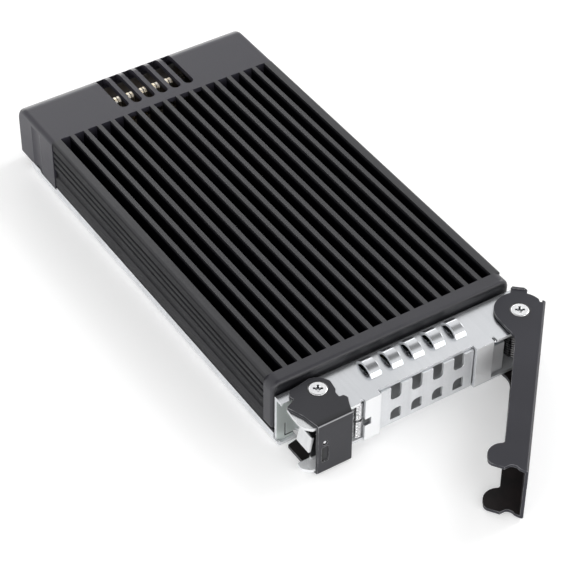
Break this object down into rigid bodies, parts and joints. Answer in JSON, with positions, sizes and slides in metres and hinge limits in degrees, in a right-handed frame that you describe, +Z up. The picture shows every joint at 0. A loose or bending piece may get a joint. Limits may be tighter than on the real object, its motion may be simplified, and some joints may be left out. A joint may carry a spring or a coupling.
{
  "type": "hot swap drive caddy",
  "caption": "Hot swap caddy for a stick-type solid state drive: folded steel tray, finned heatsink cover, hinged ejector lever and sprung release latch.",
  "frame": {"origin": "middle of the flat underside of the tray floor", "axes": "+Z up out of the finned cover, +Y towards the rear (the connector end), +X to the right seen from the lever end"},
  "size_m": [0.0743, 0.1828, 0.0185],
  "materials": {
    "galvanised_steel": "smooth zinc-coated sheet steel",
    "black_anodised": "satin black anodised extrusion",
    "dark_plastic": "fine-textured moulded plastic",
    "black_paint": "satin black paint, bare at the sheet edges",
    "zinc_hardware": "bright zinc plate",
    "black_screws": "black oxide",
    "black_wire": "black spring wire",
    "spring_steel": "drawn wire",
    "circuit_board": "solder-masked board",
    "connector_plastic": "moulded",
    "gold_contacts": "gold flash",
    "brass_standoff": "turned",
    "thermal_pad": "soft matt pad"
  },
  "bodies": {
    "tray": {"tray_base": "galvanised_steel", "front_bracket": "galvanised_steel", "bracket_rivets": "galvanised_steel", "lever_post": "zinc_hardware", "latch_post": "zinc_hardware", "lever_pivot_screws": "zinc_hardware", "latch_pivot_screws": "zinc_hardware", "lever_spring": "black_wire", "latch_spring": "spring_steel", "latch_spring_pin": "zinc_hardware", "carrier_board": "circuit_board", "board_standoffs": "zinc_hardware", "board_screws": "zinc_hardware", "m2_socket": "connector_plastic", "m2_contacts": "gold_contacts", "rear_connector": "connector_plastic", "rear_connector_contacts": "gold_contacts", "drive_standoff": "brass_standoff", "drive_screw": "zinc_hardware"},
    "cover": {"heatsink_cover": "black_anodised", "rear_cap": "dark_plastic", "cap_screws": "black_screws", "front_frame": "dark_plastic", "frame_screws": "black_screws", "thermal_pad": "thermal_pad"},
    "lever": {"lever_handle": "black_paint"},
    "latch": {"release_latch": "black_paint", "latch_hook": "galvanised_steel"}
  },
  "joints": [
    {"name": "lever_hinge", "type": "hinge", "parent": "tray", "child": "lever", "pos_m": [0.03176, -0.0694, 0.0092], "axis": [0, 0, 1], "range_deg": [-48, 0], "stiffness_Nm_per_rad": 0.02},
    {"name": "latch_hinge", "type": "hinge", "parent": "tray", "child": "latch", "pos_m": [-0.0253, -0.0655, 0.0092], "axis": [0, 0, 1], "range_deg": [-10, 0], "stiffness_Nm_per_rad": 0.03},
    {"name": "cover_lift", "type": "slide", "parent": "tray", "child": "cover", "axis": [0, 0, 1], "range_m": [0, 0.035]}
  ]
}
